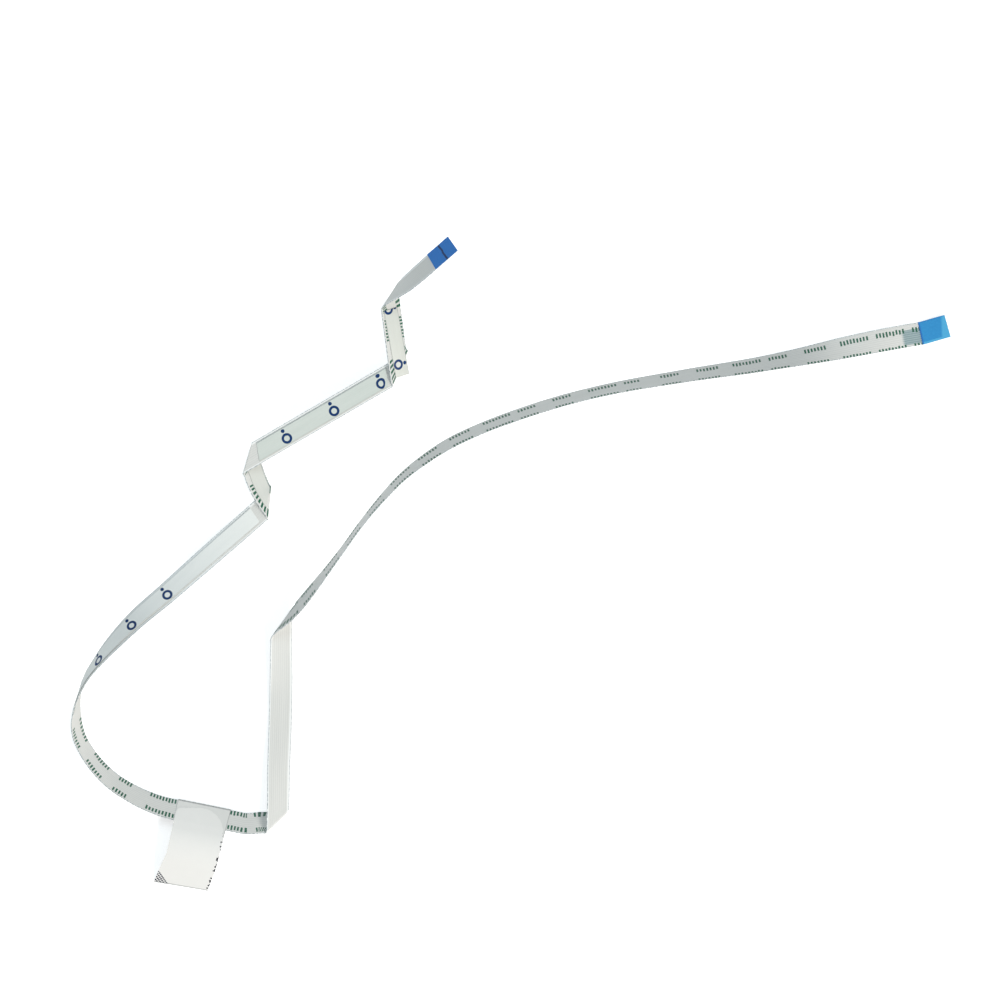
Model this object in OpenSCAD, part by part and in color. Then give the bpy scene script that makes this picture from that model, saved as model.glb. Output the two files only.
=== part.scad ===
// Flat flex cable, folded and lying loose on a table.
// Ten flat copper conductors between two polyester films, a stiffener at each end,
// four strips of mounting tape with their release liners, and a wrap-around flag label.
//
// Every layer is swept along one list of rings. A ring is a straight line across the
// cable, so a layer is a strip of that line at its own height, and all layers nest.

/* [Cable] */
// Number of conductors
conductor_count = 10; // [6:1:12]
// Spacing of the conductors
pitch = 0.5; // [0.5:0.05:0.6]
// Width of one conductor
conductor_w = 0.3; // [0.25:0.01:0.35]
// Thickness of one conductor
conductor_t = 0.05; // [0.035:0.005:0.08]
// Thickness of each insulation film
film_t = 0.075; // [0.05:0.005:0.1]
// Inside radius of the pressed folds, measured to the middle of the cable
fold_r = 0.35; // [0.3:0.05:0.5]

/* [Ends] */
// Length of the bare contacts
contact_l = 4; // [3:0.5:5]
// Length of the blue stiffeners
stiffener_l = 6.8; // [6:0.2:9]
// Thickness of the blue stiffeners
stiffener_t = 0.18; // [0.1:0.02:0.25]

/* [Mounting tape] */
// Thickness of the double-sided tape
tape_t = 0.1; // [0.06:0.02:0.12]
// Thickness of the paper release liner
liner_t = 0.08; // [0.06:0.02:0.1]
// Width of the strips on the printed face
narrow_strip_w = 3.8; // [3:0.1:4]
// Width of the strips on the plain face
wide_strip_w = 4.1; // [3.6:0.1:4.4]

/* [Label] */
// Thickness of the clear label film
label_t = 0.08; // [0.05:0.01:0.1]
// Thickness of the white writing panel
panel_t = 0.05; // [0.03:0.01:0.08]
// Radius of the panel's rounded corner
panel_corner_r = 6; // [3:0.5:7]
// Radius of the flag's droop between the cable and the table
flag_bend_r = 10; // [8:0.5:14]
// Slope of the flag's far end, down to the table
flag_drop_angle = 29; // [20:1:30]

/* [Hidden] */
cable_w = (conductor_count + 1) * pitch;
cable_t = conductor_t + 2 * film_t;
half_t = cable_t / 2;
core_t = conductor_t / 2;
seal_gap = 0.05;
seal_w = (cable_w - (conductor_count - 1) * pitch - conductor_w) / 2 - seal_gap;
fold_steps = 4;
face_strips = 4;
max_twist = 7;
$fn = 48;

// ---- Route ---------------------------------------------------------------
// The cable's centreline from end A to end B, one list for each run between two
// folds. A point is [x, y, z, tilt]: tilt turns the cable about its own length, 0 with
// the plain face up and 180 with the printed face up. A fifth number is the lean of the
// straight line across the cable, where the cable rolls over on its way round the bend.
run_a = [[-14.0, 76.6, 12.5, 42], [-16.4, 74.5, 12.1, 42], [-19.0, 72.3, 11.5, 42],
         [-22.0, 69.7, 10.5, 43], [-25.3, 67.0, 8.9, 47], [-28.9, 64.7, 6.7, 56]];
run_b = [[-29.3, 63.9, 6.0, 148], [-27.2, 47.9, 2.4, 148]];
run_c = [[-27.0, 46.6, 1.8, 0], [-45.0, 36.1, 3.1, 0], [-63.0, 25.6, 4.4, 0]];
run_d = [[-63.1, 25.1, 4.0, 156], [-62.1, 22.7, 3.1, 153], [-61.2, 20.2, 2.4, 152],
         [-60.1, 17.7, 1.7, 152], [-59.0, 15.9, 1.2, 157], [-58.3, 14.9, 0.8, 164]];
run_e = [[-58.6, 14.4, 0.2, 0], [-60.8, 12.4, 0.2, 1], [-65.3, 8.4, 0.6, 7],
         [-71.1, 3.3, 1.5, 13], [-77.2, -2.1, 2.5, 20], [-83.2, -7.4, 3.6, 26],
         [-89.4, -12.7, 4.6, 34], [-94.5, -17.8, 5.3, 46, 6], [-98.6, -22.5, 5.6, 60, 18],
         [-102.0, -27.2, 5.4, 74, 40], [-103.8, -31.4, 4.9, 90, 55],
         [-104.4, -34.6, 4.4, 106, 48], [-104.4, -37.8, 3.8, 116, 28],
         [-103.7, -41.3, 3.2, 122, 8], [-101.8, -45.1, 2.7, 126], [-99.2, -48.6, 2.4, 131],
         [-95.8, -51.9, 2.2, 135], [-91.4, -54.8, 2.0, 139], [-86.6, -57.1, 1.8, 145],
         [-82.0, -58.6, 1.7, 150], [-80.0, -59.0, 1.7, 154], [-66.0, -61.8, 1.7, 154],
         [-64.0, -62.2, 1.7, 154], [-60.2, -62.0, 1.3, 158], [-56.8, -62.0, 1.2, 158]];
run_h = [[-56.1, -61.3, 2.2, 17], [-56.0, -57.2, 1.9, 18], [-55.9, -49.0, 1.3, 12],
         [-55.6, -40.0, 0.7, 5], [-55.4, -32.0, 0.7, 5], [-55.3, -25.0, 1.1, 14],
         [-55.3, -18.8, 1.4, 22], [-55.2, -14.5, 1.6, 24]];
run_i = [[-54.8, -13.6, 2.2, 113], [-52.7, -11.8, 3.1, 115], [-50.3, -9.2, 4.2, 116],
         [-47.3, -5.5, 5.5, 113], [-44.2, -1.5, 6.5, 108], [-40.2, 3.9, 7.4, 104],
         [-35.7, 10.1, 7.9, 104], [-30.8, 16.0, 8.1, 108], [-26.2, 20.8, 8.1, 112],
         [-21.2, 24.8, 8.0, 116], [-14.5, 29.1, 7.7, 119], [-7.0, 32.6, 7.2, 119],
         [2.4, 36.1, 6.5, 120], [11.9, 39.1, 5.7, 120], [21.4, 41.5, 4.9, 120],
         [40.6, 45.0, 3.6, 124], [59.9, 48.0, 2.4, 132], [69.6, 49.8, 1.8, 141],
         [79.2, 51.8, 1.1, 159], [88.7, 53.7, 0.5, 173], [95.3, 54.9, 0.1, 180],
         [98.2, 55.4, 0.1, 180], [101.4, 56.3, 0.3, 180], [104.6, 57.2, 0.6, 180]];
runs = [run_a, run_b, run_c, run_d, run_e, run_h, run_i];

// ---- Vectors -------------------------------------------------------------
function unit(v) = v / norm(v);
function mix(a, b, t) = a * (1 - t) + b * t;
function place(p) = [p[0], p[1], p[2]];
function lean(p) = len(p) > 4 ? p[4] : 0;

// Vector across the cable for a direction and a tilt, towards the cable's left edge.
function across(dir, tilt) =
    let (level = unit(cross([0, 0, 1], dir)), rise = cross(dir, level))
    cos(tilt) * level + sin(tilt) * rise;

// Direction of the centreline at point i of a run, leaning to the nearer neighbour.
function direction(run, i) =
    let (last = len(run) - 1,
         back = i > 0 ? place(run[i]) - place(run[i - 1]) : [0, 0, 0],
         ahead = i < last ? place(run[i + 1]) - place(run[i]) : [0, 0, 0])
    i == 0 ? unit(ahead) :
    i == last ? unit(back) :
    unit(unit(back) * norm(ahead) + unit(ahead) * norm(back));

// Smooth curve from p to q with end slopes dp and dq, and its slope.
function curve(p, dp, q, dq, t) =
    (2 * t ^ 3 - 3 * t ^ 2 + 1) * p + (t ^ 3 - 2 * t ^ 2 + t) * dp
    + (3 * t ^ 2 - 2 * t ^ 3) * q + (t ^ 3 - t ^ 2) * dq;
function curve_slope(p, dp, q, dq, t) =
    (6 * t ^ 2 - 6 * t) * p + (3 * t ^ 2 - 4 * t + 1) * dp
    + (6 * t - 6 * t ^ 2) * q + (3 * t ^ 2 - 2 * t) * dq;

// ---- Folds ---------------------------------------------------------------
// A fold turns one run's end frame into the next run's start frame. Its line is the
// axis of that turn, pointing to the cable's left.
function fold_line(k) =
    let (a = runs[k], b = runs[k + 1],
         dir_a = direction(a, len(a) - 1), dir_b = direction(b, 0),
         left_a = across(dir_a, a[len(a) - 1][3]), left_b = across(dir_b, b[0][3]),
         turn = unit(cross(dir_a - dir_b, cross(dir_a, left_a) - cross(dir_b, left_b))))
    turn * left_a < 0 ? -turn : turn;

fold_lines = [for (k = [0 : len(runs) - 2]) fold_line(k)];

// Lean of the rings at a run's end, so that they lie along the fold.
function fold_skew(k, dir) = asin(fold_lines[k] * dir);

// The lean fades out over a distance in which neighbouring rings can't cross.
function fade(skew, distance) =
    skew * max(0, 1 - distance / max(2, 0.8 * cable_w * abs(tan(skew))));

// ---- Rings ---------------------------------------------------------------
// A ring is [centre, across, up, distance along its run]. A point at v across and
// n up is centre + v * across + n * up, with v measured square to the cable.
function ring(centre, dir, tilt, skew, s) =
    let (left = across(dir, tilt))
    [centre, (left * cos(skew) + dir * sin(skew)) / cos(skew), cross(dir, left), s];

function run_length(run, to) =
    to == 0 ? 0 : norm(place(run[to]) - place(run[to - 1])) + run_length(run, to - 1);

// Steps between two route points: one where the cable is flat, more where it twists.
function steps(run, i) = max(1, ceil(abs(run[i + 1][3] - run[i][3]) / max_twist));

function run_rings(k) =
    let (run = runs[k], last = len(run) - 1, total = run_length(run, last),
         skew_in = k > 0 ? fold_skew(k - 1, direction(run, 0)) : 0,
         skew_out = k < len(runs) - 1 ? fold_skew(k, direction(run, last)) : 0)
    [for (i = [0 : last - 1])
        let (p = place(run[i]), q = place(run[i + 1]), gap = norm(q - p),
             dp = direction(run, i) * gap, dq = direction(run, i + 1) * gap,
             count = steps(run, i), start = run_length(run, i))
        for (j = [0 : i == last - 1 ? count : count - 1])
            let (t = j / count, s = start + t * gap)
            ring(curve(p, dp, q, dq, t), unit(curve_slope(p, dp, q, dq, t)),
                 mix(run[i][3], run[i + 1][3], t), mix(lean(run[i]), lean(run[i + 1]), t)
                 + fade(skew_in, s) + fade(skew_out, total - s), s)];

// Rings round a fold, from run k's last ring to the next run's first one.
function fold_rings(k) =
    let (a = runs[k], b = runs[k + 1], last = len(a) - 1,
         dir_a = direction(a, last), dir_b = direction(b, 0),
         skew_a = fold_skew(k, dir_a), skew_b = fold_skew(k, dir_b),
         ring_a = ring(place(a[last]), dir_a, a[last][3], skew_a, 0),
         ring_b = ring(place(b[0]), dir_b, b[0][3], skew_b, 0),
         opening = acos(ring_a[2] * ring_b[2]),
         reach = 4 * tan(opening / 4) * fold_r / cos(skew_a))
    [for (j = [1 : fold_steps - 1])
        let (t = j / fold_steps, line = mix(ring_a[1], ring_b[1], t),
             slope = curve_slope(ring_a[0], dir_a * reach, ring_b[0], dir_b * reach, t))
        [curve(ring_a[0], dir_a * reach, ring_b[0], dir_b * reach, t),
         line, unit(cross(slope, line)), 0]];

rings = [for (k = [0 : len(runs) - 1])
            each concat(run_rings(k), k < len(runs) - 1 ? fold_rings(k) : [])];

// Distance of every ring from end A, along the centreline.
function running(i, sum) =
    i == len(rings) ? [] :
    let (next = sum + (i == 0 ? 0 : norm(rings[i][0] - rings[i - 1][0])))
    concat([next], running(i + 1, next));
stations = running(0, 0);
cable_l = stations[len(stations) - 1];

// The first ring of run k, as a distance from end A.
function run_start(k) =
    k == 0 ? 0 : stations[len([for (j = [0 : k - 1])
        each concat(run_rings(j), fold_rings(j))])];

// A ring at any distance s: it lies on the straight facets between its neighbours.
function cut(s) =
    let (i = max([for (j = [0 : len(rings) - 2]) if (stations[j] <= s) j]),
         t = (s - stations[i]) / (stations[i + 1] - stations[i]))
    [for (part = [0 : 2]) mix(rings[i][part], rings[i + 1][part], t)];

function span(from, to) =
    concat([cut(from)],
           [for (j = [0 : len(rings) - 1])
               if (stations[j] > from + 0.01 && stations[j] < to - 0.01) rings[j]],
           [cut(to)]);

// ---- Sweep ---------------------------------------------------------------
// Solid of a section [[v, n], ...], counter-clockwise, swept along rings. Each side
// panel is split the same way on every layer, so that neighbouring layers fit.
module sweep(path, section) {
    m = len(section);
    points = [for (r = path) for (p = section) r[0] + p[0] * r[1] + p[1] * r[2]];
    sides = [for (i = [0 : len(path) - 2]) for (j = [0 : m - 1])
        let (k = (j + 1) % m, a = i * m + j, b = i * m + k, c = a + m, d = b + m)
        each section[j][0] < section[k][0] ? [[a, c, d], [a, d, b]]
                                           : [[a, c, b], [b, c, d]]];
    start_cap = [for (j = [0 : m - 1]) j];
    end_cap = [for (j = [m - 1 : -1 : 0]) (len(path) - 1) * m + j];
    polyhedron(points, concat(sides, [start_cap, end_cap]));
}

function slab(v0, v1, n0, n1, strips) = concat(
    [for (i = [0 : strips]) [mix(v0, v1, i / strips), n0]],
    [for (i = [strips : -1 : 0]) [mix(v0, v1, i / strips), n1]]);

// ---- Cable ---------------------------------------------------------------
module printed_film() {
    color([0.90, 0.91, 0.88])
        sweep(span(contact_l, cable_l),
              slab(-cable_w / 2, cable_w / 2, -half_t, -core_t, face_strips));
}

// The plain film carries the sealed edges that close the cable on both sides.
module plain_film() {
    inner = cable_w / 2 - seal_w;
    section = concat(
        [[-cable_w / 2, -core_t], [-inner, -core_t]],
        [for (i = [0 : face_strips]) [mix(-inner, inner, i / face_strips), core_t]],
        [[inner, -core_t], [cable_w / 2, -core_t]],
        [for (i = [face_strips : -1 : 0])
            [mix(-cable_w / 2, cable_w / 2, i / face_strips), half_t]]);
    color([0.88, 0.89, 0.86])
        sweep(span(0, cable_l - contact_l), section);
}

function conductor_name(i) = str("conductor_", i < 10 ? "0" : "", i);

module conductor(i) {
    v = (i - (conductor_count + 1) / 2) * pitch;
    color([0.82, 0.80, 0.76])
        sweep(span(0, cable_l),
              slab(v - conductor_w / 2, v + conductor_w / 2, -core_t, core_t, 1));
}

// The stiffeners back the contacts: on the plain face at end A, on the print at end B.
module stiffener_a() {
    color([0.16, 0.40, 0.72])
        sweep(span(0, stiffener_l),
              slab(-cable_w / 2, cable_w / 2, half_t, half_t + stiffener_t, 1));
}

module stiffener_b() {
    color([0.20, 0.60, 0.85])
        sweep(span(cable_l - stiffener_l, cable_l),
              slab(-cable_w / 2, cable_w / 2, -half_t - stiffener_t, -half_t, 1));
}

// ---- Mounting tape -------------------------------------------------------
// A strip follows the cable from one distance to another. Side 1 is the plain face
// and side -1 the printed one.
module strip(from, to, v0, v1, side, low, high) {
    n0 = side > 0 ? half_t + low : -half_t - high;
    n1 = side > 0 ? half_t + high : -half_t - low;
    sweep(span(from, to), slab(v0, v1, n0, n1, 1));
}

// Strip 1 is flat and set at an angle on run B: it runs past the fold at its end.
strip_1_start = [2.8, 0.25];
strip_1_turn = 3;
strip_1_l = 16.7;

module straight_strip(low, high) {
    start = place(run_b[0]);
    dir = direction(run_b, 0);
    left = across(dir, run_b[0][3]);
    up = cross(dir, left);
    multmatrix([[dir[0], left[0], up[0], start[0]],
                [dir[1], left[1], up[1], start[1]],
                [dir[2], left[2], up[2], start[2]]])
        translate([strip_1_start[0], strip_1_start[1], -half_t - high])
            rotate([0, 0, -strip_1_turn])
                translate([0, -narrow_strip_w / 2, 0])
                    cube([strip_1_l, narrow_strip_w, high - low]);
}

strip_2_from = run_start(2) + 3.4;
strip_2_to = run_start(2) + 39.2;
strip_3_from = run_start(3) + 1.6;
strip_3_to = run_start(3) + 11;
strip_3_v = -0.5;
strip_4_from = run_start(4) + 4;
strip_4_to = run_start(4) + 68;
strip_4_v = -0.1;

module strip_2(low, high) {
    strip(strip_2_from, strip_2_to, -wide_strip_w / 2, wide_strip_w / 2, 1, low, high);
}

module strip_3(low, high) {
    strip(strip_3_from, strip_3_to, strip_3_v - narrow_strip_w / 2,
          strip_3_v + narrow_strip_w / 2, -1, low, high);
}

module strip_4(low, high) {
    strip(strip_4_from, strip_4_to, strip_4_v - wide_strip_w / 2,
          strip_4_v + wide_strip_w / 2, 1, low, high);
}

module tape_1() { color([0.93, 0.92, 0.86]) straight_strip(0, tape_t); }
module liner_1() { color([0.90, 0.89, 0.82]) straight_strip(tape_t, tape_t + liner_t); }
module tape_2() { color([0.93, 0.92, 0.86]) strip_2(0, tape_t); }
module liner_2() { color([0.85, 0.88, 0.84]) strip_2(tape_t, tape_t + liner_t); }
module tape_3() { color([0.93, 0.92, 0.86]) strip_3(0, tape_t); }
module liner_3() { color([0.85, 0.84, 0.80]) strip_3(tape_t, tape_t + liner_t); }
module tape_4() { color([0.93, 0.92, 0.86]) strip_4(0, tape_t); }
module liner_4() { color([0.85, 0.88, 0.84]) strip_4(tape_t, tape_t + liner_t); }

// ---- Label ---------------------------------------------------------------
// The label is one clear film wrapped round the cable's low edge. Its two flaps meet
// past the high edge and droop to the table as a flag. In its own frame x runs along
// the cable, y across it to the high edge and z up out of the printed face.
// The cable is straight where it sits, from one route point to the next.
label_point = 20;
label_from = place(run_e[label_point]);
label_tilt = run_e[label_point][3];
label_dir = unit(place(run_e[label_point + 1]) - label_from);
label_left = across(label_dir, label_tilt);
label_up = cross(label_left, label_dir);
flag_turn = 180 - label_tilt + flag_drop_angle;
flap_gap = 0.9;
flag_root = cable_w / 2 + flap_gap;
flag_reach = 11;
label_zone = 30;
wrap_t = half_t + label_t;

// Points of an arc, from one angle to another.
function arc(centre, radius, from, to, count) =
    [for (i = [0 : count])
        let (a = mix(from, to, i / count)) centre + radius * [cos(a), sin(a)]];

function reversed(list) = [for (i = [len(list) - 1 : -1 : 0]) list[i]];

// The flag's side view at a height above its middle: round off the cable, then straight.
function flag_line(height) =
    let (bend = arc([flag_root, -flag_bend_r], flag_bend_r + height, 90, 90 - flag_turn, 12))
    concat(bend, [bend[12] + flag_reach * [cos(flag_turn), -sin(flag_turn)]]);

// One side of the sleeve round the cable, from the low edge to the end of the flag.
function flap_line(side, height) =
    concat([[-cable_w / 2, side * height], [cable_w / 2, side * height]],
           flag_line(side * (height - half_t)));

module film_section() {
    difference() {
        polygon(concat(arc([-cable_w / 2, 0], wrap_t, 90, 270, 8),
                       [for (p = flap_line(-1, wrap_t)) if (p[0] > -cable_w / 2) p],
                       reversed([for (p = flap_line(1, wrap_t)) if (p[0] > -cable_w / 2) p])));
        polygon(concat(arc([-cable_w / 2, 0], half_t, 90, 270, 8),
                       [[cable_w / 2, -half_t], [flag_root - flap_gap / 9, 0], [cable_w / 2, half_t]]));
    }
}

module panel_section() {
    polygon(concat(flap_line(1, wrap_t), reversed(flap_line(1, wrap_t + panel_t))));
}

// Keeps what lies under an outline drawn in the cable's own x and y.
module cut_to_outline() {
    intersection() {
        multmatrix([[label_dir[0], label_left[0], label_up[0], label_from[0]],
                    [label_dir[1], label_left[1], label_up[1], label_from[1]],
                    [label_dir[2], label_left[2], label_up[2], label_from[2]]])
            translate([-label_zone / 2, 0, 0])
                rotate([90, 0, 90]) linear_extrude(label_zone) children(0);
        linear_extrude(20) children(1);
    }
}

flag_left = [[-79.4, -54.0], [-80.9, -60.9], [-81.6, -64.0], [-82.7, -69.0],
             [-84.8, -73.6], [-85.9, -76.2]];
flag_right = [[-73.0, -78.3], [-71.0, -73.2], [-69.6, -68.0], [-68.9, -65.0]];

module film_outline() {
    polygon(concat(flag_left, flag_right, [[-66.6, -56.0]]));
}

module panel_outline() {
    polygon(concat(arc([-75.2, -64.4], panel_corner_r, 0, 110, 12), [[-79.5, -58.4]],
                   [for (p = flag_left) if (p[1] < -60) p], flag_right));
}

module label_film() {
    color([0.80, 0.81, 0.79, 0.9])
        cut_to_outline() {
            film_section();
            film_outline();
        }
}

module label_panel() {
    color([0.94, 0.93, 0.91])
        cut_to_outline() {
            panel_section();
            panel_outline();
        }
}

printed_film();
plain_film();
for (i = [1 : conductor_count])
    conductor(i);
stiffener_a();
stiffener_b();
tape_1();
liner_1();
tape_2();
liner_2();
tape_3();
liner_3();
tape_4();
liner_4();
label_film();
label_panel();
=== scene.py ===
"""Flat flex cable, folded and lying loose on a table.

Laid out as an add-on and run as a script. Every piece is built along one centreline,
so that films, conductors, stiffeners and tape keep their place on the cable.
All sizes are in metres.
"""
import functools
import math

import bpy
import numpy as np
from bpy.props import FloatProperty, FloatVectorProperty, IntProperty, PointerProperty
from mathutils import Matrix, Vector


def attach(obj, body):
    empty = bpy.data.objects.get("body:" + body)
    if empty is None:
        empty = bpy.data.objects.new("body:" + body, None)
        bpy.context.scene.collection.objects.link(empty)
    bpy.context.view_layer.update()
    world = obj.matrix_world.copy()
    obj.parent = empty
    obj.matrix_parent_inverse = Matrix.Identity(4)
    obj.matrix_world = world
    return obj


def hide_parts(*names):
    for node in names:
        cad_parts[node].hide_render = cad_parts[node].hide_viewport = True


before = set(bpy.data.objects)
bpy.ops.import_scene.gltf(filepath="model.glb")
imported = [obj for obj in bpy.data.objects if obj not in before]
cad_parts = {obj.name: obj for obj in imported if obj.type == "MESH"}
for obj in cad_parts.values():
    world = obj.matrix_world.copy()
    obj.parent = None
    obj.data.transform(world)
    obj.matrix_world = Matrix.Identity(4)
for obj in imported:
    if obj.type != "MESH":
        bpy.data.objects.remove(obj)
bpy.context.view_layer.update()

bl_info = {
    "name": "Flat Flex Cable",
    "version": (1, 0, 0),
    "blender": (4, 5, 0),
    "location": "3D View > Sidebar > Flex Cable",
    "description": "Builds a folded flat flex cable with stiffeners, mounting tape and a label",
    "category": "Object",
}

MM = 0.001

# Centreline from end A to end B, one list for each run between two folds. A point is
# (x, y, z, tilt) and, where the cable rolls over, the lean of the line across it.
RUN_A = [(-0.0140, 0.0766, 0.0125, 42), (-0.0164, 0.0745, 0.0121, 42),
         (-0.0190, 0.0723, 0.0115, 42), (-0.0220, 0.0697, 0.0105, 43),
         (-0.0253, 0.0670, 0.0089, 47), (-0.0289, 0.0647, 0.0067, 56)]
RUN_B = [(-0.0293, 0.0639, 0.0060, 148), (-0.0272, 0.0479, 0.0024, 148)]
RUN_C = [(-0.0270, 0.0466, 0.0018, 0), (-0.0450, 0.0361, 0.0031, 0),
         (-0.0630, 0.0256, 0.0044, 0)]
RUN_D = [(-0.0631, 0.0251, 0.0040, 156), (-0.0621, 0.0227, 0.0031, 153),
         (-0.0612, 0.0202, 0.0024, 152), (-0.0601, 0.0177, 0.0017, 152),
         (-0.0590, 0.0159, 0.0012, 157), (-0.0583, 0.0149, 0.0008, 164)]
RUN_E = [(-0.0586, 0.0144, 0.0002, 0), (-0.0608, 0.0124, 0.0002, 1),
         (-0.0653, 0.0084, 0.0006, 7), (-0.0711, 0.0033, 0.0015, 13),
         (-0.0772, -0.0021, 0.0025, 20), (-0.0832, -0.0074, 0.0036, 26),
         (-0.0894, -0.0127, 0.0046, 34), (-0.0945, -0.0178, 0.0053, 46, 6),
         (-0.0986, -0.0225, 0.0056, 60, 18), (-0.1020, -0.0272, 0.0054, 74, 40),
         (-0.1038, -0.0314, 0.0049, 90, 55), (-0.1044, -0.0346, 0.0044, 106, 48),
         (-0.1044, -0.0378, 0.0038, 116, 28), (-0.1037, -0.0413, 0.0032, 122, 8),
         (-0.1018, -0.0451, 0.0027, 126), (-0.0992, -0.0486, 0.0024, 131),
         (-0.0958, -0.0519, 0.0022, 135), (-0.0914, -0.0548, 0.0020, 139),
         (-0.0866, -0.0571, 0.0018, 145), (-0.0820, -0.0586, 0.0017, 150),
         (-0.0800, -0.0590, 0.0017, 154), (-0.0660, -0.0618, 0.0017, 154),
         (-0.0640, -0.0622, 0.0017, 154), (-0.0602, -0.0620, 0.0013, 158),
         (-0.0568, -0.0620, 0.0012, 158)]
RUN_H = [(-0.0561, -0.0613, 0.0022, 17), (-0.0560, -0.0572, 0.0019, 18),
         (-0.0559, -0.0490, 0.0013, 12), (-0.0556, -0.0400, 0.0007, 5),
         (-0.0554, -0.0320, 0.0007, 5), (-0.0553, -0.0250, 0.0011, 14),
         (-0.0553, -0.0188, 0.0014, 22), (-0.0552, -0.0145, 0.0016, 24)]
RUN_I = [(-0.0548, -0.0136, 0.0022, 113), (-0.0527, -0.0118, 0.0031, 115),
         (-0.0503, -0.0092, 0.0042, 116), (-0.0473, -0.0055, 0.0055, 113),
         (-0.0442, -0.0015, 0.0065, 108), (-0.0402, 0.0039, 0.0074, 104),
         (-0.0357, 0.0101, 0.0079, 104), (-0.0308, 0.0160, 0.0081, 108),
         (-0.0262, 0.0208, 0.0081, 112), (-0.0212, 0.0248, 0.0080, 116),
         (-0.0145, 0.0291, 0.0077, 119), (-0.0070, 0.0326, 0.0072, 119),
         (0.0024, 0.0361, 0.0065, 120), (0.0119, 0.0391, 0.0057, 120),
         (0.0214, 0.0415, 0.0049, 120), (0.0406, 0.0450, 0.0036, 124),
         (0.0599, 0.0480, 0.0024, 132), (0.0696, 0.0498, 0.0018, 141),
         (0.0792, 0.0518, 0.0011, 159), (0.0887, 0.0537, 0.0005, 173),
         (0.0953, 0.0549, 0.0001, 180), (0.0982, 0.0554, 0.0001, 180),
         (0.1014, 0.0563, 0.0003, 180), (0.1046, 0.0572, 0.0006, 180)]
RUNS = [RUN_A, RUN_B, RUN_C, RUN_D, RUN_E, RUN_H, RUN_I]


# ---- Settings ---------------------------------------------------------------

def length(name, text, value):
    return FloatProperty(name=name, description=text, default=value, unit="LENGTH",
                         precision=5)


def colour(name, text, value):
    return FloatVectorProperty(name=name, description=text, default=value, size=3,
                               subtype="COLOR", min=0.0, max=1.0)


class CableSettings(bpy.types.PropertyGroup):
    width: length("Width", "Width of the cable", 5.5 * MM)
    pitch: length("Pitch", "Spacing of the conductors", 0.5 * MM)
    conductor_width: length("Conductor width", "Width of one conductor", 0.3 * MM)
    conductor_thickness: length("Conductor thickness", "Thickness of one conductor",
                                0.05 * MM)
    film_thickness: length("Film thickness", "Thickness of each insulation film",
                           0.075 * MM)
    fold_radius: length("Fold radius", "Radius of the pressed folds", 0.35 * MM)
    ring_step: length("Ring step", "Distance between two lines across the cable",
                      0.45 * MM)
    fold_rings: IntProperty(name="Fold rings", description="Lines round each fold",
                            default=12, min=4, max=24)
    contact_length: length("Contact length", "Length of the bare contacts", 4 * MM)
    stiffener_length: length("Stiffener length", "Length of the blue stiffeners",
                             6.8 * MM)
    stiffener_thickness: length("Stiffener thickness", "Thickness of the stiffeners",
                                0.18 * MM)
    rib_height: length("Rib height", "How far the conductors show through the films",
                       0.012 * MM)


class TapeSettings(bpy.types.PropertyGroup):
    tape_thickness: length("Tape thickness", "Thickness of the double-sided tape",
                           0.1 * MM)
    liner_thickness: length("Liner thickness", "Thickness of the release liner",
                            0.08 * MM)
    narrow_width: length("Narrow strips", "Width of the strips on the printed face",
                         3.8 * MM)
    wide_width: length("Wide strips", "Width of the strips on the plain face", 4.1 * MM)


class LabelSettings(bpy.types.PropertyGroup):
    film_thickness: length("Film thickness", "Thickness of the clear label film",
                           0.08 * MM)
    panel_thickness: length("Panel thickness", "Thickness of the white panel", 0.05 * MM)
    corner_radius: length("Corner radius", "Radius of the panel's rounded corner",
                          6 * MM)
    small_radius: length("Small radius", "Radius of the panel's other corner", 1.4 * MM)
    flap_gap: length("Flap gap", "Distance from the cable's edge to where the flaps meet",
                     0.9 * MM)
    bend_radius: length("Bend radius", "Radius of the flag's droop", 10 * MM)
    flag_reach: length("Flag reach", "Length of the flag past its bend", 11 * MM)
    drop_angle: FloatProperty(name="Drop angle", description="Slope of the flag's far end",
                              default=math.radians(29), subtype="ANGLE")


class StageSettings(bpy.types.PropertyGroup):
    view_width: length("View width", "Width of the camera's view on the table", 0.24)
    camera_height: length("Camera height", "Height of the camera over the table", 2.4)
    view_centre: FloatVectorProperty(name="View centre", size=2, subtype="TRANSLATION",
                                     description="Point on the table under the camera",
                                     default=(-0.00281, 0.01541), precision=5)
    key_power: FloatProperty(name="Key", description="Power of the key lamp in watts",
                             default=19.0, min=0.0)
    side_power: FloatProperty(name="Side", description="Power of the second lamp in watts",
                              default=9.0, min=0.0)
    fill_light: FloatProperty(name="Fill", description="Strength of the light all round",
                              default=0.38, min=0.0)
    floor_glow: FloatProperty(name="Floor glow", description="Brightness added to the floor",
                              default=0.56, min=0.0)


# ---- Centreline and rings ---------------------------------------------------
# A ring is the straight line across the cable at one distance along it: its centre,
# its vector to the left edge for each metre of width, and the plain face's normal.

def unit(v):
    return v / np.linalg.norm(v)


def across(direction, tilt):
    level = unit(np.cross((0.0, 0.0, 1.0), direction))
    rise = np.cross(direction, level)
    return math.cos(math.radians(tilt)) * level + math.sin(math.radians(tilt)) * rise


def curve(p, dp, q, dq, t):
    return ((2 * t ** 3 - 3 * t ** 2 + 1) * p + (t ** 3 - 2 * t ** 2 + t) * dp
            + (3 * t ** 2 - 2 * t ** 3) * q + (t ** 3 - t ** 2) * dq)


def curve_slope(p, dp, q, dq, t):
    return ((6 * t ** 2 - 6 * t) * p + (3 * t ** 2 - 4 * t + 1) * dp
            + (6 * t - 6 * t ** 2) * q + (3 * t ** 2 - 2 * t) * dq)


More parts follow.
